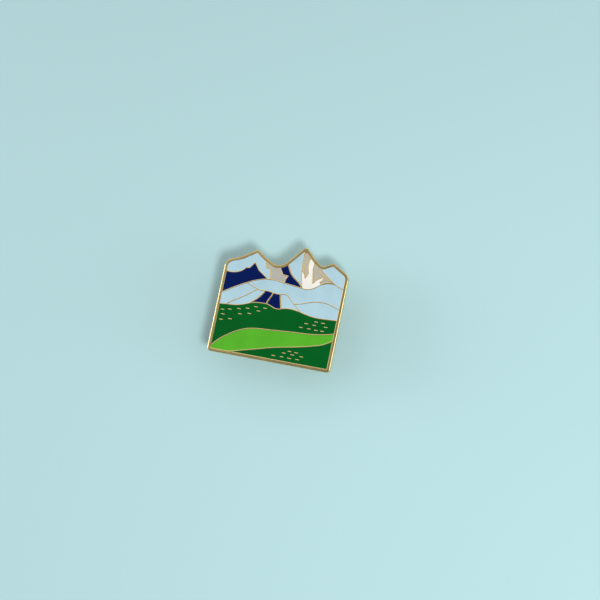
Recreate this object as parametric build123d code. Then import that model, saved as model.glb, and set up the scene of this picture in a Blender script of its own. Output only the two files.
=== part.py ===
from build123d import *
import os

"""Enamel pin with a mountain landscape, lying face up on its two butterfly clutches.

A die-struck metal plate holds coloured enamel between raised metal lines. Two posts are soldered into
its back, and each carries a butterfly clutch: a dished plate with two folded ears, which guide two
crossed leaves whose outer ends are the wings that a finger and thumb squeeze.

Units are millimetres. +Z is the face's outward normal, +Y runs up the picture, and the origin is on
the surface the pin lies on, under the middle of the plate.
"""

# ---------------------------------------------------------------- driving dimensions
PLATE_THICKNESS = 2.0
RIM_WIDTH = 0.85
RIM_TOP_ROUND = 0.22
RIM_BACK_ROUND = 0.15
ENAMEL_DEPTH = 0.6
ENAMEL_SINK = 0.03
LINE_WIDTH = 0.26
BOLD_LINE_WIDTH = 0.36
SUMMIT_METAL_WIDTH = 0.6
SMALLEST_CELL_AREA = 0.03

TICK_LENGTH = 1.0
TICK_WIDTH = 0.22

POST_SPACING = 17.0
POST_HEIGHT_ON_PLATE = 15.2
POST_RADIUS = 0.55
POST_WAIST_RADIUS = 0.38
POST_TAPER_RADIUS = 0.5
POST_LENGTH = 7.3
POST_POINT_LENGTH = 1.0
POST_POINT_RADIUS = 0.12
FOOT_RADIUS = 2.0
FOOT_PROUD = 0.3
SOCKET_RADIUS = 2.35
SOCKET_DEPTH = 0.1

CLUTCH_GAP = 3.85
CLUTCH_HEIGHT = 5.5
SHEET = 0.3
CLUTCH_RADIUS = 5.7
CLUTCH_EDGE_WIDTH = 0.9
CLUTCH_EDGE_DROP = 0.5
CLUTCH_HOLE_RADIUS = 0.72
DIMPLE_RADIUS = 1.5
DIMPLE_DEPTH = 0.2
EAR_LENGTH = 3.2
EAR_REACH = 1.05

LEAF_SHEET = 0.25
LEAF_GAP = 0.05
LEAF_WIDTH = 4.2
LEAF_END = 1.4
LEAF_HOLE_RADIUS = 0.58
WING_TRAVEL = 0.8
WING_BEND = 3.2
WING_BEND_RADIUS = 0.5
WING_LEAN = 2.0
WING_TOE = 0.6
WING_WIDTH = 6.2
WING_CORNER = 1.5
WING_NECK_HEIGHT = 3.9
WING_SHOULDER_HEIGHT = 3.0

# ---------------------------------------------------------------- heights
BACK_Z = CLUTCH_GAP + CLUTCH_HEIGHT
FACE_Z = BACK_Z + PLATE_THICKNESS
CLUTCH_Z = CLUTCH_HEIGHT
LEAF_TOPS = (
    CLUTCH_Z - SHEET - DIMPLE_DEPTH - LEAF_GAP,
    CLUTCH_Z - SHEET - DIMPLE_DEPTH - 2 * LEAF_GAP - LEAF_SHEET,
)
EAR_FOLD_TOP = LEAF_TOPS[1] - LEAF_SHEET - LEAF_GAP
POST_WAIST = (CLUTCH_GAP + 0.05, BACK_Z - LEAF_TOPS[1] + LEAF_SHEET + 0.05)

# ---------------------------------------------------------------- the picture
# Corners of the outline, clockwise from the bottom left, each with its rounding radius.
OUTLINE = [
    (-17.05, 0.0, 1.0),
    (-17.05, 25.25, 2.4),
    (-12.8, 26.85, 8.0),
    (-8.85, 29.5, 0.95),
    (-6.45, 27.7, 3.0),
    (-3.25, 26.05, 2.0),
    (-0.95, 26.55, 2.0),
    (4.05, 32.5, 0.95),
    (7.35, 29.2, 4.0),
    (9.45, 27.75, 1.2),
    (12.3, 29.3, 0.95),
    (17.05, 26.5, 2.4),
    (17.05, 0.0, 1.0),
]

# Raised metal lines that run as smooth curves: points, then width.
SMOOTH_LINES = {
    "glacier_top": (
        [
            (-16.45, 16.2), (-13.55, 18.0), (-9.75, 20.1), (-6.25, 21.5), (-3.75, 21.95), (0.25, 21.6),
            (4.25, 21.15), (6.15, 20.95), (7.85, 21.35), (10.25, 22.95), (12.25, 23.6), (14.25, 23.42),
        ],
        LINE_WIDTH,
    ),
    "right_ridge": (
        [(8.95, 27.5), (10.25, 26.2), (12.25, 24.65), (14.05, 23.5), (16.65, 22.65)],
        LINE_WIDTH,
    ),
    "left_snow_foot": ([(-16.45, 22.3), (-14.35, 22.15), (-12.35, 22.8), (-11.05, 24.0)], LINE_WIDTH),
    "main_peak_left_edge": (
        [(-0.2, 27.3), (0.55, 26.1), (1.3, 24.75), (2.5, 23.5), (3.95, 22.45), (5.1, 21.1)],
        BOLD_LINE_WIDTH,
    ),
    "main_peak_crest": (
        [(4.0, 31.8), (3.95, 30.0), (4.0, 28.0), (4.15, 26.0), (4.35, 24.3), (4.75, 22.7), (5.2, 21.1)],
        LINE_WIDTH,
    ),
    "glacier_foot": (
        [
            (-10.0, 19.96), (-7.75, 19.15), (-5.75, 18.6), (-3.95, 18.7), (-1.75, 18.4), (-0.25, 18.4),
            (1.15, 18.6), (2.65, 17.6), (4.45, 16.05), (6.1, 14.57),
        ],
        LINE_WIDTH,
    ),
    "foothill_crest": (
        [
            (3.95, 16.5), (6.45, 17.1), (8.35, 17.75), (10.35, 18.15), (12.25, 18.2), (14.45, 17.7),
            (16.65, 17.0),
        ],
        LINE_WIDTH,
    ),
    "spur_left": (
        [(-6.65, 18.8), (-8.55, 17.3), (-10.55, 15.9), (-12.55, 14.65), (-14.4, 13.27)],
        LINE_WIDTH,
    ),
    "spur_middle": (
        [(-4.55, 18.7), (-5.25, 17.5), (-6.05, 16.45), (-6.85, 15.7), (-8.0, 14.72)],
        BOLD_LINE_WIDTH,
    ),
    "cliff_divider": ([(-2.3, 18.48), (-2.7, 17.3), (-3.2, 16.3), (-3.45, 15.15)], BOLD_LINE_WIDTH),
    "cliff_right_edge": ([(-0.2, 18.42), (-0.05, 17.5), (0.25, 16.3), (0.7, 14.55)], BOLD_LINE_WIDTH),
    "hill_top": (
        [
            (-16.45, 13.0), (-14.45, 13.25), (-11.95, 13.45), (-9.45, 14.1), (-7.25, 14.9), (-4.75, 15.2),
            (-2.95, 15.1), (-1.35, 14.5), (-0.05, 14.35), (1.55, 14.8), (3.45, 14.95), (5.55, 14.7),
            (7.55, 14.25), (10.05, 13.85), (12.55, 13.85), (16.65, 14.1),
        ],
        LINE_WIDTH,
    ),
    "field_top": (
        [
            (-16.45, 1.15), (-15.15, 2.75), (-14.15, 3.75), (-12.25, 5.2), (-10.25, 6.45), (-8.25, 7.4),
            (-6.25, 7.95), (-2.35, 8.35), (1.65, 8.65), (5.65, 8.95), (9.65, 9.2), (12.65, 9.6),
            (14.85, 10.05), (16.65, 10.6),
        ],
        LINE_WIDTH,
    ),
    "field_bottom": (
        [
            (-12.35, 0.4), (-9.15, 1.25), (-7.15, 1.8), (-3.2, 2.85), (0.8, 3.95), (4.75, 4.75), (8.75, 5.6),
            (11.7, 6.35), (13.7, 7.0), (15.35, 7.9), (16.65, 8.75),
        ],
        LINE_WIDTH,
    ),
    "summit_metal": ([(3.9, 30.95), (4.6, 30.95), (5.3, 30.9)], SUMMIT_METAL_WIDTH),
    "ramp_foot": ([(10.15, 23.15), (11.15, 23.52), (12.35, 23.78), (13.75, 23.68)], LINE_WIDTH),
    "rib_left": ([(4.7, 31.2), (4.8, 29.3), (4.75, 27.4), (5.05, 24.95)], LINE_WIDTH),
    "rib_right": ([(8.1, 28.9), (8.2, 27.2), (8.1, 25.7), (8.6, 24.0)], LINE_WIDTH),
}

# Raised metal lines that turn at corners, as rock and snow edges do.
JAGGED_LINES = {
    "left_snow_edge": [(-11.1, 23.95), (-10.1, 24.1), (-8.85, 25.8), (-7.35, 23.8), (-4.35, 21.8)],
    "left_rock_edge": [
        (-6.35, 27.6), (-5.85, 26.0), (-5.65, 24.9), (-4.55, 24.75), (-4.05, 23.2), (-3.8, 21.9),
    ],
    "saddle_edge": [(-2.15, 26.4), (-1.45, 24.9), (-0.75, 23.8), (0.75, 23.65), (0.2, 22.5), (0.15, 21.6)],
    "gully_left_bank": [
        (6.2, 30.3), (5.65, 28.6), (5.6, 27.2), (6.1, 25.4), (5.45, 23.9), (5.0, 25.0), (4.2, 25.75),
    ],
    "gully_right_bank": [
        (7.0, 29.6), (7.2, 28.2), (7.1, 26.6), (7.4, 25.0), (7.75, 22.9), (8.65, 24.0), (10.15, 24.95),
        (10.4, 24.2), (9.6, 23.45), (10.1, 22.85),
    ],
    "buttress": [(9.55, 26.8), (9.35, 25.9), (10.5, 25.2), (11.0, 24.3), (11.15, 23.33)],
    "lower_ramp": [(10.5, 25.2), (11.75, 24.35), (13.55, 23.55)],
}

# Raised metal ticks in the green fields, as centre points.
TICKS = [
    (-15.05, 11.65), (-13.15, 12.0), (-10.65, 12.6), (-8.35, 13.1), (-6.15, 13.9), (-3.65, 13.95),
    (-5.25, 12.9), (-14.7, 10.4), (-10.1, 11.25), (-7.6, 11.8), (-14.95, 8.9), (-12.55, 9.45),
    (10.85, 12.75), (12.75, 12.75), (8.3, 11.85), (10.5, 11.8), (13.7, 11.8),
    (7.05, 10.6), (9.25, 10.6), (11.25, 10.55), (12.95, 10.6),
    (5.35, 3.7), (7.2, 3.65), (3.9, 3.0), (6.3, 2.9), (8.8, 2.85),
    (1.25, 1.85), (3.55, 1.9), (5.65, 1.85), (7.85, 1.9),
]

# Every enamel cell: its node's name and a point inside it.
CELLS = {
    "enamel_left_snow": (-13.75, 24.0),
    "enamel_left_slope": (-12.75, 21.0),
    "enamel_left_rock": (-2.75, 24.0),
    "enamel_saddle": (-0.15, 25.0),
    "enamel_main_peak_snow": (2.45, 27.0),
    "enamel_rib_outer": (4.4, 28.0),
    "enamel_rib_inner": (5.2, 28.0),
    "enamel_gully_snow": (6.25, 23.0),
    "enamel_right_rib": (7.65, 26.5),
    "enamel_right_rock": (8.85, 25.2),
    "enamel_right_buttress": (11.65, 24.0),
    "enamel_right_ledge": (11.55, 24.8),
    "enamel_right_snow": (13.25, 26.5),
    "enamel_glacier": (6.25, 19.0),
    "enamel_left_foothill": (-13.75, 15.5),
    "enamel_middle_foothill": (-8.75, 15.8),
    "enamel_cliff_left": (-4.35, 16.8),
    "enamel_cliff_right": (-1.35, 16.5),
    "enamel_small_foothill": (1.75, 16.2),
    "enamel_right_foothill": (11.25, 16.0),
    "enamel_hill": (0.25, 11.0),
    "enamel_field": (-3.75, 5.5),
    "enamel_near_hill": (11.25, 2.5),
}


# ---------------------------------------------------------------- flat shapes
def outline_face():
    """The plate's outline, with every corner rounded."""
    corners = [(x, y) for x, y, _ in OUTLINE]
    radii = [radius for _, _, radius in OUTLINE]
    return make_face(FilletPolyline(*corners, radius=radii, close=True))


def smooth_line(points, width):
    """A line of even width along a smooth curve through the points."""
    path = Spline(*points)
    steps = 4 * len(points)
    sides = []
    for side in (0.5 * width, -0.5 * width):
        shifted = []
        for step in range(steps + 1):
            place = path @ (step / steps)
            heading = path % (step / steps)
            shifted.append(place + Vector(-heading.Y, heading.X) * side)
        sides.append(Spline(*shifted))
    ends = [Line(sides[0] @ end, sides[1] @ end) for end in (0, 1)]
    return make_face(sides + ends)


def jagged_line(points, width):
    """A line of even width along straight runs, with round corners."""
    line = Sketch()
    for start, end in zip(points, points[1:]):
        run = Vector(*end) - Vector(*start)
        middle = (Vector(*end) + Vector(*start)) / 2
        turn = Vector(1, 0).get_signed_angle(run, Vector(0, 0, 1))
        line += Pos(middle) * Rot(0, 0, turn) * SlotCenterToCenter(run.length, width)
    return line


def picture_cells(outline):
    """The recesses in the plate's face, by node name, between the rim and the raised lines."""
    open_area = Sketch() + offset(outline, amount=-RIM_WIDTH)
    for points, width in SMOOTH_LINES.values():
        open_area -= smooth_line(points, width)
    for points in JAGGED_LINES.values():
        open_area -= jagged_line(points, LINE_WIDTH)
    for x, y in TICKS:
        open_area -= Pos(x, y) * SlotOverall(TICK_LENGTH, TICK_WIDTH)
    faces = [face for face in open_area.faces() if face.area > SMALLEST_CELL_AREA]
    cells = {}
    for name, seed in CELLS.items():
        inside = [face for face in faces if face.is_inside(Vector(*seed))]
        if len(inside) != 1:
            raise ValueError(f"{name}: its point lies in {len(inside)} cells")
        cells[name] = inside[0]
    if len(faces) != len(CELLS):
        raise ValueError(f"{len(faces)} cells for {len(CELLS)} names")
    return cells


# ---------------------------------------------------------------- the pin
def pin_plate(outline, cells, post_places):
    """The struck plate: rounded edges, a recess for every enamel cell, and a socket for each post."""
    plate = Pos(0, 0, BACK_Z) * extrude(outline, amount=PLATE_THICKNESS)
    top = plate.faces().sort_by(Axis.Z)[-1]
    plate = fillet(top.outer_wire().edges(), RIM_TOP_ROUND)
    back = plate.faces().sort_by(Axis.Z)[0]
    plate = fillet(back.outer_wire().edges(), RIM_BACK_ROUND)
    for cell in cells.values():
        plate -= Pos(0, 0, FACE_Z - ENAMEL_DEPTH) * extrude(cell, amount=2 * ENAMEL_DEPTH)
    for x, y in post_places:
        plate -= Pos(x, y, BACK_Z + SOCKET_DEPTH / 2) * Cylinder(SOCKET_RADIUS, SOCKET_DEPTH)
    return plate


def enamel(cell):
    """The enamel that fills one cell, a hair below the polished metal."""
    return Pos(0, 0, FACE_Z - ENAMEL_DEPTH) * extrude(cell, amount=ENAMEL_DEPTH - ENAMEL_SINK)


def turned(profile):
    """A solid turned about the post's axis, from (radius, height below the back) corners."""
    corners = [(radius, BACK_Z - depth) for radius, depth in profile]
    return revolve(Plane.XZ * make_face(Polyline(*corners, close=True)), Axis.Z)


def post():
    """A post: its foot, its shank with a waist for the clutch's leaves, and its point."""
    waist_top, waist_bottom = POST_WAIST
    return turned(
        [
            (0, -SOCKET_DEPTH), (FOOT_RADIUS, -SOCKET_DEPTH),
            (FOOT_RADIUS, FOOT_PROUD), (POST_RADIUS, FOOT_PROUD),
            (POST_RADIUS, waist_top), (POST_WAIST_RADIUS, waist_top), (POST_WAIST_RADIUS, waist_bottom),
            (POST_RADIUS, waist_bottom), (POST_TAPER_RADIUS, POST_LENGTH - POST_POINT_LENGTH),
            (POST_POINT_RADIUS, POST_LENGTH), (0, POST_LENGTH),
        ]
    )


def solder():
    """The ring of solder round a post's foot."""
    return turned(
        [
            (FOOT_RADIUS, -SOCKET_DEPTH), (SOCKET_RADIUS, -SOCKET_DEPTH), (SOCKET_RADIUS, 0),
            (FOOT_RADIUS, 0.75 * FOOT_PROUD),
        ]
    )


# ---------------------------------------------------------------- a butterfly clutch, about the Z axis
def clutch_plate():
    """The dished disc that bears on the cloth, with a guide dimple and two ears folded under the leaves."""
    top = [
        (CLUTCH_HOLE_RADIUS, CLUTCH_Z - DIMPLE_DEPTH),
        (DIMPLE_RADIUS, CLUTCH_Z),
        (CLUTCH_RADIUS - CLUTCH_EDGE_WIDTH, CLUTCH_Z),
        (CLUTCH_RADIUS, CLUTCH_Z - CLUTCH_EDGE_DROP),
    ]
    under = [(radius, z - SHEET) for radius, z in reversed(top)]
    disc = revolve(Plane.XZ * make_face(Polyline(*top, *under, close=True)), Axis.Z)
    inside = LEAF_WIDTH / 2 + LEAF_GAP
    outside = inside + SHEET
    ear_path = Polyline(
        (inside, CLUTCH_Z - SHEET / 2),
        (outside, CLUTCH_Z - SHEET / 2),
        (outside, EAR_FOLD_TOP - SHEET),
        (EAR_REACH, EAR_FOLD_TOP - SHEET),
        (EAR_REACH, EAR_FOLD_TOP),
        (inside, EAR_FOLD_TOP),
        close=True,
    )
    ear = extrude(Plane.YZ * make_face(ear_path), amount=EAR_LENGTH / 2, both=True)
    fold = ear.edges().filter_by(Axis.X).group_by(Axis.Z)[0].sort_by(Axis.Y)[-1]
    ear = fillet(fold, 0.9 * SHEET)
    return disc + ear + mirror(ear, Plane.XZ)


def clutch_wing(leaf_top):
    """A wing on the -X side and its leaf, bent from one strip; the leaf's slot lets the post through."""
    middle = leaf_top - LEAF_SHEET / 2
    bend = (-WING_BEND, middle)
    ankle = (-WING_BEND - WING_LEAN, LEAF_SHEET / 2)
    toe = (-WING_BEND - WING_LEAN - WING_TOE, LEAF_SHEET / 2)
    strip = FilletPolyline((LEAF_END, middle), bend, ankle, toe, radius=WING_BEND_RADIUS)
    section = trace(strip, LEAF_SHEET)
    sheet = extrude(Plane.XZ * section, amount=WING_WIDTH / 2, both=True)
    half_leaf = LEAF_WIDTH / 2
    half_wing = WING_WIDTH / 2
    end_view = FilletPolyline(
        (-half_leaf, CLUTCH_Z), (half_leaf, CLUTCH_Z),
        (half_leaf, WING_NECK_HEIGHT), (half_wing, WING_SHOULDER_HEIGHT), (half_wing, 0),
        (-half_wing, 0), (-half_wing, WING_SHOULDER_HEIGHT), (-half_leaf, WING_NECK_HEIGHT),
        radius=[0.3, 0.3, 0.6, 0.9, WING_CORNER, WING_CORNER, 0.9, 0.6],
        close=True,
    )
    wing = sheet & extrude(Plane.YZ * make_face(end_view), amount=2 * WING_WIDTH, both=True)
    slot = SlotCenterToCenter(WING_TRAVEL, 2 * LEAF_HOLE_RADIUS)
    return wing - Pos(-WING_TRAVEL / 2, 0, middle) * extrude(slot, amount=LEAF_SHEET, both=True)


# ---------------------------------------------------------------- writing the parts
def build_parts():
    """Every part by its node's name, placed in the pin's own frame."""
    outline = outline_face()
    centre = outline.bounding_box().center()
    to_origin = Pos(-centre.X, -centre.Y)
    cells = {name: to_origin * cell for name, cell in picture_cells(outline).items()}
    post_y = POST_HEIGHT_ON_PLATE - centre.Y
    places = {"left": (-POST_SPACING / 2, post_y), "right": (POST_SPACING / 2, post_y)}
    parts = {"pin_plate": pin_plate(to_origin * outline, cells, places.values())}
    for name, cell in cells.items():
        parts[name] = enamel(cell)
    for side, (x, y) in places.items():
        post_place = Pos(x, y)
        clutch_place = Pos(x, y) * Rot(0, 0, 90)
        parts[f"{side}_post"] = post_place * post()
        parts[f"{side}_solder"] = post_place * solder()
        parts[f"{side}_clutch_plate"] = clutch_place * clutch_plate()
        parts[f"{side}_lower_wing"] = clutch_place * clutch_wing(LEAF_TOPS[0])
        parts[f"{side}_upper_wing"] = clutch_place * Rot(0, 0, 180) * clutch_wing(LEAF_TOPS[1])
    return parts


if __name__ == "__main__":
    os.makedirs("parts", exist_ok=True)
    for name, shape in build_parts().items():
        export_step(shape, f"parts/{name}.step")
        print(name, round(shape.volume, 3), len(shape.solids()))
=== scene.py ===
import math

import bmesh
import bpy
from mathutils import Matrix, Vector, bvhtree, geometry, kdtree, noise


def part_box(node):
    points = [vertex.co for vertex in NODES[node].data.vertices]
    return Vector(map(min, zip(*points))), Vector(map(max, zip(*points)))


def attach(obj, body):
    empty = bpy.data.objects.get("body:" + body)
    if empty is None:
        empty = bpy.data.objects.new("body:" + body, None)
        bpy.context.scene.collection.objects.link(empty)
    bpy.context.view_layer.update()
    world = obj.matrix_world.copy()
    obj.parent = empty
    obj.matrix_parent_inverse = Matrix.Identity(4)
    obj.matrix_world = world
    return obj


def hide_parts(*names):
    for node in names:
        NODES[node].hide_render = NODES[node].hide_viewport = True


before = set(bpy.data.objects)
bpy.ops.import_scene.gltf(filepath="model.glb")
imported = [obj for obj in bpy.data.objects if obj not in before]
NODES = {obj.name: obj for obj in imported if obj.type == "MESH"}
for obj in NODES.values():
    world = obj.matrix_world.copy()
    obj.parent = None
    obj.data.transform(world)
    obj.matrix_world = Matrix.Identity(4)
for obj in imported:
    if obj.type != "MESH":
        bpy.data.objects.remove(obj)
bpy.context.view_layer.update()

MM = 0.001

# ------------------------------------------------------------------ colours, linear
GOLD = (0.93, 0.715, 0.325)
BRASS = (0.88, 0.62, 0.26)
POST_BRASS = (0.80, 0.52, 0.20)
SOLDER = (0.62, 0.57, 0.48)
LIGHT_BLUE = (0.365, 0.537, 0.606)
NAVY = (0.0004, 0.0077, 0.076)
DARK_GREEN = (0.0004, 0.089, 0.012)
BRIGHT_GREEN = (0.084, 0.378, 0.022)
WHITE = (0.765, 0.748, 0.688)
WARM_GREY = (0.391, 0.383, 0.331)
FLOOR = (0.404, 0.606, 0.628)

ENAMELS = {
    "light_blue": (LIGHT_BLUE, [
        "left_snow", "main_peak_snow", "right_snow", "glacier", "left_foothill", "middle_foothill",
        "small_foothill", "right_foothill",
    ]),
    "navy": (NAVY, ["left_slope", "saddle", "cliff_left", "cliff_right"]),
    "dark_green": (DARK_GREEN, ["hill", "near_hill"]),
    "bright_green": (BRIGHT_GREEN, ["field"]),
    "white": (WHITE, ["gully_snow"]),
    "warm_grey": (WARM_GREY, [
        "left_rock", "rib_outer", "rib_inner", "right_rib", "right_rock", "right_buttress", "right_ledge",
    ]),
}


# ------------------------------------------------------------------ material helpers
class Nodes:
    """A material being built: adds nodes and links them by name."""

    def __init__(self, name):
        self.material = bpy.data.materials.new(name)
        self.material.use_nodes = True
        self.tree = self.material.node_tree
        self.tree.nodes.clear()
        output = self.tree.nodes.new("ShaderNodeOutputMaterial")
        self.shader = self.tree.nodes.new("ShaderNodeBsdfPrincipled")
        self.tree.links.new(self.shader.outputs[0], output.inputs["Surface"])
        coordinates = self.tree.nodes.new("ShaderNodeTexCoord")
        self.place = coordinates.outputs["Object"]
        self.facing = coordinates.outputs["Normal"]

    def link(self, source, target):
        self.tree.links.new(source, target)

    def set(self, socket, value):
        """Gives a socket a constant, or links another socket to it."""
        if isinstance(value, (int, float, tuple)):
            socket.default_value = value
        else:
            self.link(value, socket)

    def scaled(self, scale):
        """Object coordinates in metres, stretched by a scale of one number or three."""
        mapping = self.tree.nodes.new("ShaderNodeMapping")
        mapping.inputs["Scale"].default_value = scale if isinstance(scale, tuple) else (scale,) * 3
        self.link(self.place, mapping.inputs["Vector"])
        return mapping.outputs[0]

    def noise(self, per_mm, detail=3.0, roughness=0.5, stretch=(1, 1, 1)):
        """Noise with so many features per millimetre, from 0 to 1."""
        texture = self.tree.nodes.new("ShaderNodeTexNoise")
        texture.inputs["Scale"].default_value = 1.0
        texture.inputs["Detail"].default_value = detail
        texture.inputs["Roughness"].default_value = roughness
        self.link(self.scaled(tuple(per_mm / MM * s for s in stretch)), texture.inputs["Vector"])
        return texture.outputs["Fac"]

    def specks(self, per_mm, size):
        """Round specks: 1 inside a speck, 0 outside, so many per millimetre."""
        texture = self.tree.nodes.new("ShaderNodeTexVoronoi")
        texture.inputs["Scale"].default_value = 1.0
        self.link(self.scaled(per_mm / MM), texture.inputs["Vector"])
        return self.between(texture.outputs["Distance"], size, 0.0, 0.0, 1.0)

    def between(self, value, from_low, from_high, to_low, to_high):
        """A value carried from one range to another, clamped."""
        node = self.tree.nodes.new("ShaderNodeMapRange")
        node.clamp = True
        for socket, number in zip(node.inputs[1:5], (from_low, from_high, to_low, to_high)):
            socket.default_value = number
        self.link(value, node.inputs[0])
        return node.outputs[0]

    def maths(self, operation, a, b):
        node = self.tree.nodes.new("ShaderNodeMath")
        node.operation = operation
        for socket, value in zip(node.inputs, (a, b)):
            self.set(socket, value)
        return node.outputs[0]

    def blend(self, factor, a, b):
        """A number that goes from a to b as the factor goes from 0 to 1."""
        node = self.tree.nodes.new("ShaderNodeMix")
        self.link(factor, node.inputs["Factor"])
        for socket, value in ((node.inputs[2], a), (node.inputs[3], b)):
            self.set(socket, value)
        return node.outputs[0]

    def mixed(self, factor, a, b):
        """Two colours mixed; either may be a socket."""
        node = self.tree.nodes.new("ShaderNodeMix")
        node.data_type = "RGBA"
        self.link(factor, node.inputs["Factor"])
        for socket, value in ((node.inputs[6], a), (node.inputs[7], b)):
            self.set(socket, (*value, 1.0) if isinstance(value, tuple) else value)
        return node.outputs[2]

    def bump(self, height, depth_mm, strength=1.0):
        node = self.tree.nodes.new("ShaderNodeBump")
        self.set(node.inputs["Strength"], strength)
        node.inputs["Distance"].default_value = depth_mm * MM
        self.link(height, node.inputs["Height"])
        return node.outputs[0]


def set_material(piece, material):
    piece.data.materials.clear()
    piece.data.materials.append(material)


def shaded(colour, factor):
    return tuple(min(1.0, channel * factor) for channel in colour)


# ------------------------------------------------------------------ materials
def enamel_material(name, colour):
    """Hard enamel: ground flush, glossy, with faint cloud, hairline polish marks and a few pinholes, whose
    pits are darkened with painted shade.
    """
    m = Nodes(name)
    cloud = m.noise(0.22, detail=4.0)
    tone = m.mixed(m.between(cloud, 0.3, 0.7, 0.0, 1.0), shaded(colour, 0.94), shaded(colour, 1.05))
    pinhole_pits_with_painted_shade = m.specks(0.9, 0.055)
    # The pinholes take a darker copy of the enamel colour: painted shade in the pits, which the bump below
    # also dents.
    m.link(m.mixed(pinhole_pits_with_painted_shade, tone, shaded(colour, 0.35)), m.shader.inputs["Base Color"])
    scratches = m.noise(2.0, detail=2.0, stretch=(0.25, 5.0, 1.0))
    m.link(m.between(scratches, 0.3, 0.75, 0.05, 0.13), m.shader.inputs["Roughness"])
    waves = m.maths("ADD", m.noise(0.5, detail=1.0), m.maths("MULTIPLY", pinhole_pits_with_painted_shade, -1.5))
    m.link(m.bump(waves, 0.004, 0.8), m.shader.inputs["Normal"])
    m.shader.inputs["IOR"].default_value = 1.5
    m.shader.inputs["Specular IOR Level"].default_value = 0.12
    return m.material


def metal_material(name, colour, roughness, grain, struck=False):
    """Polished metal, faintly tarnished; a struck blank also has a sheared side and a matt back."""
    m = Nodes(name)
    tarnish = m.between(m.noise(0.3, detail=5.0), 0.4, 0.75, 0.0, 1.0)
    m.link(m.mixed(tarnish, colour, shaded(colour, 0.88)), m.shader.inputs["Base Color"])
    smudges = m.noise(0.5, detail=4.0)
    rough = m.between(smudges, 0.3, 0.7, roughness, 1.5 * roughness)
    height = m.noise(14.0, detail=2.0)
    if struck:
        split = m.tree.nodes.new("ShaderNodeSeparateXYZ")
        m.link(m.facing, split.inputs[0])
        is_back = m.between(split.outputs["Z"], -0.5, -0.9, 0.0, 1.0)
        is_side = m.between(m.maths("ABSOLUTE", split.outputs["Z"], 0.0), 0.25, 0.05, 0.0, 1.0)
        blasted = m.between(m.noise(26.0, detail=2.0), 0.35, 0.7, 0.34, 0.5)
        sheared = m.noise(7.0, detail=3.0, stretch=(1, 1, 0.06))
        rough = m.blend(is_back, rough, blasted)
        rough = m.blend(is_side, rough, m.between(sheared, 0.3, 0.7, roughness, 2.4 * roughness))
        height = m.blend(is_side, height, sheared)
        grain_here = m.blend(is_back, grain, 1.0)
    else:
        grain_here = grain
    m.link(rough, m.shader.inputs["Roughness"])
    m.link(m.bump(height, 0.003, grain_here), m.shader.inputs["Normal"])
    m.shader.inputs["Metallic"].default_value = 1.0
    return m.material


GOLD_MATERIAL = metal_material("gold_plating", GOLD, 0.11, 0.2, struck=True)
BRASS_MATERIAL = metal_material("clutch_brass", BRASS, 0.22, 0.5)
POST_MATERIAL = metal_material("post_brass", POST_BRASS, 0.24, 0.5)
SOLDER_MATERIAL = metal_material("solder", SOLDER, 0.35, 1.0)
for slot_name, (colour, cells) in ENAMELS.items():
    material = enamel_material(f"{slot_name}_enamel", colour)
    for cell in cells:
        set_material(NODES[f"enamel_{cell}"], material)
for side in ("left", "right"):
    set_material(NODES[f"{side}_post"], POST_MATERIAL)
    set_material(NODES[f"{side}_solder"], SOLDER_MATERIAL)
    for piece in ("clutch_plate", "lower_wing", "upper_wing"):
        set_material(NODES[f"{side}_{piece}"], BRASS_MATERIAL)


# ------------------------------------------------------------------ rounded edges
WELD = 0.001 * MM
SHARP_EDGE = math.radians(35)
ROUNDED = {"clutch_plate": 0.05, "lower_wing": 0.07, "upper_wing": 0.07, "post": 0.04}


def round_edges(piece, width_mm):
    """Welds the solid's faces and rounds its sharp edges."""
    weld = piece.modifiers.new("weld", "WELD")
    weld.merge_threshold = WELD
    bevel = piece.modifiers.new("round", "BEVEL")
    bevel.limit_method = "ANGLE"
    bevel.angle_limit = SHARP_EDGE
    bevel.width = width_mm * MM
    bevel.segments = 3
    bevel.use_clamp_overlap = True
    bevel.harden_normals = True


for side in ("left", "right"):
    for part, width_mm in ROUNDED.items():
        round_edges(NODES[f"{side}_{part}"], width_mm)


# ------------------------------------------------------------------ the struck plate
ENAMEL_SINK = 0.03 * MM
CROWN_REACH = 0.13 * MM
BORDER_STEP = 0.09 * MM
RINGS = (0.04 * MM, 0.085 * MM, 0.13 * MM)
FILL_STEP = 0.13 * MM
# Points nearer one another than this share of FILL_STEP are taken once.
SAME_POINT = 0.35
BORDER_CLEAR = 0.9 * RINGS[0]
MEASURE_STEP = 0.02 * MM
CREASE = math.radians(50)
# No tick is taller than this. Its top slopes like a chisel's, from a ridge at this share of its height.
TICK_HEIGHT = 0.6 * MM
TICK_RIDGE = 0.25
TICK_EDGE = 0.05 * MM


def stepped(start, end, step):
    """Points from start up to but not including end, no more than a step apart."""
    count = max(1, math.ceil((end - start).length / step))
    return [start.lerp(end, k / count) for k in range(count)]


def fine_run(run):
    """A run of points filled in closely enough to measure distances to it."""
    return [p for a, b in zip(run, run[1:]) for p in stepped(a, b, MEASURE_STEP)]


def kd_tree(points):
    tree = kdtree.KDTree(len(points))
    for index, point in enumerate(points):
        tree.insert(point, index)
    tree.balance()
    return tree


def border_loops(border):
    """The border's closed loops, each a set of vertices."""
    edges = {}
    for edge in border:
        for vertex in edge.verts:
            edges.setdefault(vertex, []).append(edge)
    loops, seen = [], set()
    for first in edges:
        loop, todo = set(), [first]
        while todo:
            vertex = todo.pop()
            if vertex not in seen:
                seen.add(vertex)
                loop.add(vertex)
                todo += [edge.other_vert(vertex) for edge in edges[vertex]]
        if loop:
            loops.append(loop)
    return loops


def tick_boxes(loops):
    """The low x, high x, low y and high y of each tick: nothing else has so narrow a border."""
    boxes = []
    for loop in loops:
        box = [pick(vertex.co[k] for vertex in loop) for k in (0, 1) for pick in (min, max)]
        if box[3] - box[2] < TICK_HEIGHT:
            boxes.append(box)
    return boxes


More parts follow.
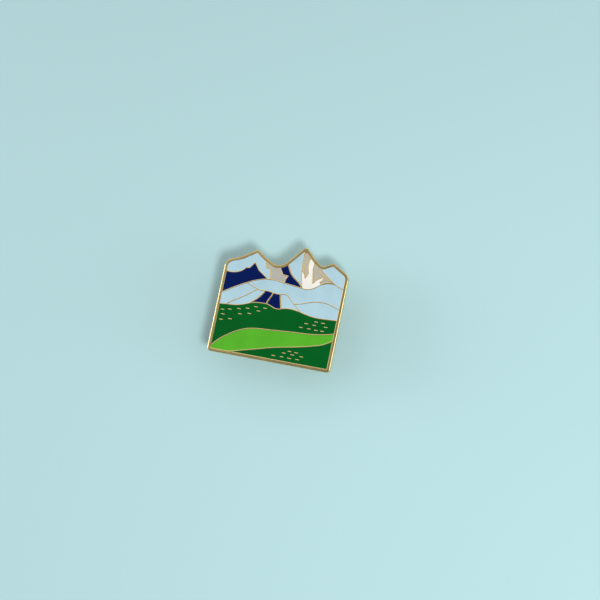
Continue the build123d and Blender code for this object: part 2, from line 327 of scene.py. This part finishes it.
def shell_faces(border, outer, flat):
    """The faces reached from the outer border without crossing the flat top: side, back and sockets."""
    rim = [edge for edge in border if edge.verts[0] in outer]
    todo = [face for edge in rim for face in edge.link_faces if face not in flat]
    found = set()
    while todo:
        face = todo.pop()
        if face not in found and face not in flat:
            found.add(face)
            todo += [other for edge in face.edges for other in edge.link_faces]
    return found


def crowned_top(cad, border, outer, ticks, top):
    """Triangles over the metal's top: crowned lines and rim that meet the enamel at the borders."""
    solid = bvhtree.BVHTree.FromBMesh(cad)

    def is_metal(x, y):
        hit = solid.ray_cast(Vector((x, y, top + MM)), Vector((0, 0, -1)))[0]
        return hit is not None and top - hit.z < WELD

    points, chains, rings = [], [], []
    for edge in border:
        a, b = (vertex.co.copy() for vertex in edge.verts)
        is_outer = edge.verts[0] in outer
        run = [a] if is_outer else stepped(a, b, BORDER_STEP)
        chains.append((run + [b], is_outer))
    near_cell = kd_tree([p for run, is_outer in chains if not is_outer for p in fine_run(run)])
    near_outside = kd_tree([p for run, is_outer in chains if is_outer for p in fine_run(run)])

    def height(x, y):
        inset = near_cell.find(Vector((x, y, top)))[2]
        drop = max(0.0, 1.0 - inset / CROWN_REACH) ** 2
        for low_x, high_x, low_y, high_y in ticks:
            if low_x <= x <= high_x and low_y <= y <= high_y:
                ridge = low_y + TICK_RIDGE * (high_y - low_y)
                drop = max(1.0 - inset / TICK_EDGE, (y - ridge) / (high_y - ridge))
        return top - ENAMEL_SINK * min(1.0, max(0.0, drop))

    index = {}

    def number(point):
        key = (round(point.x / WELD), round(point.y / WELD))
        if key not in index:
            index[key] = len(points)
            points.append((point.x / MM, point.y / MM))
        return index[key]

    sides = []
    for run, is_outer in chains:
        numbers = [number(p) for p in run]
        sides += [pair for pair in zip(numbers, numbers[1:]) if pair[0] != pair[1]]
        if not is_outer:
            across = Vector((run[-1].y - run[0].y, run[0].x - run[-1].x, 0)).normalized()
            for p in run[:-1]:
                for ring in RINGS:
                    rings += [p + across * ring, p - across * ring]
    low = [min(p[k] for p in points) * MM for k in (0, 1)]
    high = [max(p[k] for p in points) * MM for k in (0, 1)]
    rows = int((high[1] - low[1]) / FILL_STEP)
    columns = int((high[0] - low[0]) / FILL_STEP)
    fill = [
        Vector((low[0] + (column + 0.5 * (row % 2)) * FILL_STEP, low[1] + row * FILL_STEP, top))
        for row in range(rows) for column in range(columns)
    ]
    inner = [(p, BORDER_CLEAR) for p in rings] + [(p, RINGS[2]) for p in fill]
    taken = set()
    for p, clear in inner:
        cell = (round(p.x / (SAME_POINT * FILL_STEP)), round(p.y / (SAME_POINT * FILL_STEP)))
        if cell not in taken and is_metal(p.x, p.y) and near_cell.find(p)[2] > clear:
            if near_outside.find(p)[2] > RINGS[0]:
                taken.add(cell)
                number(p)
    flat_points, _, triangles, *_ = geometry.delaunay_2d_cdt(
        [Vector(p) for p in points], sides, [], 0, 1e-6, False
    )
    placed = [Vector((p.x * MM, p.y * MM, height(p.x * MM, p.y * MM))) for p in flat_points]
    kept = []
    for triangle in triangles:
        middle = sum((flat_points[k] for k in triangle), Vector((0, 0))) / 3
        if is_metal(middle.x * MM, middle.y * MM):
            kept.append(triangle)
    return placed, kept


def struck_plate(piece):
    """The plate as struck and polished: its own back and side, with crowned rim, lines and ticks on top."""
    cad = bmesh.new()
    cad.from_mesh(piece.data)
    bmesh.ops.remove_doubles(cad, verts=cad.verts, dist=WELD)
    top = max(vertex.co.z for vertex in cad.verts)
    flat = {face for face in cad.faces if all(top - vertex.co.z < WELD for vertex in face.verts)}
    border = [edge for edge in cad.edges if sum(face in flat for face in edge.link_faces) == 1]
    loops = border_loops(border)
    outer = max(loops, key=lambda loop: max(vertex.co.x for vertex in loop))
    placed, triangles = crowned_top(cad, border, outer, tick_boxes(loops), top)
    shell = shell_faces(border, outer, flat)
    bmesh.ops.delete(cad, geom=[face for face in cad.faces if face not in shell], context="FACES")
    vertices = [cad.verts.new(p) for p in placed]
    for triangle in triangles:
        cad.faces.new([vertices[k] for k in triangle])
    bmesh.ops.remove_doubles(cad, verts=cad.verts, dist=WELD)
    for vertex in [vertex for vertex in cad.verts if not vertex.link_faces]:
        cad.verts.remove(vertex)
    bmesh.ops.recalc_face_normals(cad, faces=cad.faces)
    mesh = bpy.data.meshes.new("struck_plate")
    cad.to_mesh(mesh)
    cad.free()
    mesh.shade_smooth()
    mesh.set_sharp_from_angle(angle=CREASE)
    plate = bpy.data.objects.new("struck_plate", mesh)
    bpy.context.collection.objects.link(plate)
    weighted = plate.modifiers.new("even_shading", "WEIGHTED_NORMAL")
    weighted.keep_sharp = True
    set_material(plate, GOLD_MATERIAL)
    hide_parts("pin_plate")
    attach(plate, "pin")


struck_plate(NODES["pin_plate"])

# ------------------------------------------------------------------ the solder round each post's foot
SOLDER_FOOT = 2.0 * MM
SOLDER_REACH = 0.45 * MM
SOLDER_HEIGHT = 0.2 * MM
SOLDER_TUCK = 0.03 * MM
# How far the fillet's reach and height stray round the post, as shares, and how quickly they change.
UNEVEN_REACH = 0.3
UNEVEN_HEIGHT = 0.2
REACH_WAVES = 1.2
HEIGHT_WAVES = 2.0
HEIGHT_SEED = 5
SOLDER_TURNS = 120
SOLDER_RINGS = 7


def solder_fillet(side, seed):
    """A hollow-curved fillet of solder that ran out unevenly over the plate's back."""
    low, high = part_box(f"{side}_post")
    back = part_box("pin_plate")[0].z
    foot = Vector(((low.x + high.x) / 2, (low.y + high.y) / 2, back))
    rows = []
    for turn in range(SOLDER_TURNS):
        angle = 2 * math.pi * turn / SOLDER_TURNS
        heading = Vector((math.cos(angle), math.sin(angle), 0))
        spread = 1.0 + UNEVEN_REACH * noise.noise(REACH_WAVES * heading + Vector((0, 0, seed)))
        wander = HEIGHT_WAVES * heading + Vector((0, 0, seed + HEIGHT_SEED))
        climb = 1.0 + UNEVEN_HEIGHT * noise.noise(wander)
        row = []
        for ring in range(SOLDER_RINGS):
            share = ring / (SOLDER_RINGS - 1)
            radius = SOLDER_FOOT - SOLDER_TUCK + (SOLDER_REACH * spread + SOLDER_TUCK) * share
            drop = SOLDER_HEIGHT * climb * (1.0 - share) ** 2 if share < 1.0 else -SOLDER_TUCK
            row.append(foot + radius * heading - Vector((0, 0, drop)))
        rows.append(row)
    mesh = bpy.data.meshes.new(f"{side}_solder_fillet")
    faces = []
    for turn in range(SOLDER_TURNS):
        after = (turn + 1) % SOLDER_TURNS
        for ring in range(SOLDER_RINGS - 1):
            here, there = turn * SOLDER_RINGS + ring, after * SOLDER_RINGS + ring
            faces.append((here, here + 1, there + 1, there))
    mesh.from_pydata([point for row in rows for point in row], [], faces)
    mesh.shade_smooth()
    fillet = bpy.data.objects.new(f"{side}_solder_fillet", mesh)
    bpy.context.collection.objects.link(fillet)
    set_material(fillet, SOLDER_MATERIAL)
    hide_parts(f"{side}_solder")
    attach(fillet, "pin")


solder_fillet("left", 1.0)
solder_fillet("right", 2.0)

# ------------------------------------------------------------------ floor, light and camera
# How bright the room is at each height, from the horizon at 0 to straight up at 1.
ROOM = ((0.0, 0.42), (0.16, 0.13), (0.3, 0.12), (0.5, 0.8), (0.915, 0.95), (0.978, 0.22))
# How much of that light is left towards the viewer's side, and where the shade begins and ends.
VIEWER_SIDE = 0.15
VIEWER_SHADE = (0.05, 0.45)
VIEW_TILT = math.radians(14.0)
VIEW_SIDE = math.radians(-32.0)
VIEW_ROLL = math.radians(11.8)
VIEW_DISTANCE = 0.496
FLOOR_SIZE = 12.0
AIM = Vector((5.31, 1.83, 11.35)) * MM
LENS = 111.1
LAMP_DISTANCE = 0.5


def overhead(tilt, side, distance, aim):
    """A place at a distance from aim, tilted from straight up towards a side."""
    return aim + distance * Vector(
        (math.sin(tilt) * math.cos(side), math.sin(tilt) * math.sin(side), math.cos(tilt))
    )


def softbox(name, tilt, side, size, power):
    """A round soft light that looks at the origin; angles in degrees, size in metres, power in watts."""
    light = bpy.data.lights.new(name, "AREA")
    light.shape = "DISK"
    light.size = size
    light.energy = power
    lamp = bpy.data.objects.new(name, light)
    lamp.location = overhead(math.radians(tilt), math.radians(side), LAMP_DISTANCE, Vector())
    lamp.rotation_euler = lamp.location.to_track_quat("Z", "Y").to_euler()
    bpy.context.collection.objects.link(lamp)
    return lamp


def make_floor():
    bpy.ops.mesh.primitive_plane_add(size=FLOOR_SIZE)
    floor = bpy.context.object
    floor.name = "floor"
    m = Nodes("floor_paper")
    grain = m.noise(2.5, detail=6.0, roughness=0.6)
    fibres = m.between(grain, 0.3, 0.7, 0.0, 1.0)
    m.link(m.mixed(fibres, shaded(FLOOR, 0.985), FLOOR), m.shader.inputs["Base Color"])
    m.shader.inputs["Roughness"].default_value = 0.85
    set_material(floor, m.material)


def make_world():
    """A room with a bright band part of the way up, so that polished metal shows light and dark."""
    world = bpy.data.worlds.new("studio")
    world.use_nodes = True
    tree = world.node_tree
    background = tree.nodes["Background"]
    direction = tree.nodes.new("ShaderNodeTexCoord").outputs["Generated"]
    split = tree.nodes.new("ShaderNodeSeparateXYZ")
    tree.links.new(direction, split.inputs[0])
    ramp = tree.nodes.new("ShaderNodeValToRGB")
    ramp.color_ramp.interpolation = "EASE"
    tree.links.new(split.outputs["Z"], ramp.inputs["Fac"])
    elements = ramp.color_ramp.elements
    while len(elements) < len(ROOM):
        elements.new(0.5)
    for element, (height, grey) in zip(elements, ROOM):
        element.position = height
        element.color = (grey, grey, grey, 1.0)
    shade = tree.nodes.new("ShaderNodeMapRange")
    for socket, number in zip(shade.inputs[1:5], (-VIEWER_SHADE[1], -VIEWER_SHADE[0], VIEWER_SIDE, 1.0)):
        socket.default_value = number
    tree.links.new(split.outputs["Y"], shade.inputs[0])
    tree.links.new(shade.outputs[0], background.inputs["Strength"])
    tree.links.new(ramp.outputs[0], background.inputs["Color"])
    bpy.context.scene.world = world


def make_camera():
    data = bpy.data.cameras.new("camera")
    data.lens = LENS
    data.sensor_width = 36.0
    data.dof.use_dof = False
    data.clip_start = 0.01
    data.clip_end = 10.0
    camera = bpy.data.objects.new("camera", data)
    camera.location = overhead(VIEW_TILT, VIEW_SIDE, VIEW_DISTANCE, AIM)
    back = (camera.location - AIM).normalized()
    right = Vector((0, 1, 0)).cross(back).normalized()
    look = Matrix((right, back.cross(right), back)).transposed()
    camera.rotation_euler = (look @ Matrix.Rotation(VIEW_ROLL, 3, "Z")).to_euler()
    bpy.context.collection.objects.link(camera)
    bpy.context.scene.camera = camera


make_floor()
make_world()
make_camera()
# The main light casts the shadow. It is hidden from reflections: the gold shows the room and side lights.
main_light = softbox("main_softbox", tilt=27, side=-36, size=0.1, power=1.44)
main_light.visible_glossy = False
softbox("right_softbox", tilt=74, side=0, size=0.3, power=0.8)
softbox("left_softbox", tilt=74, side=180, size=0.3, power=1.2)
bpy.context.scene.view_settings.view_transform = "Standard"
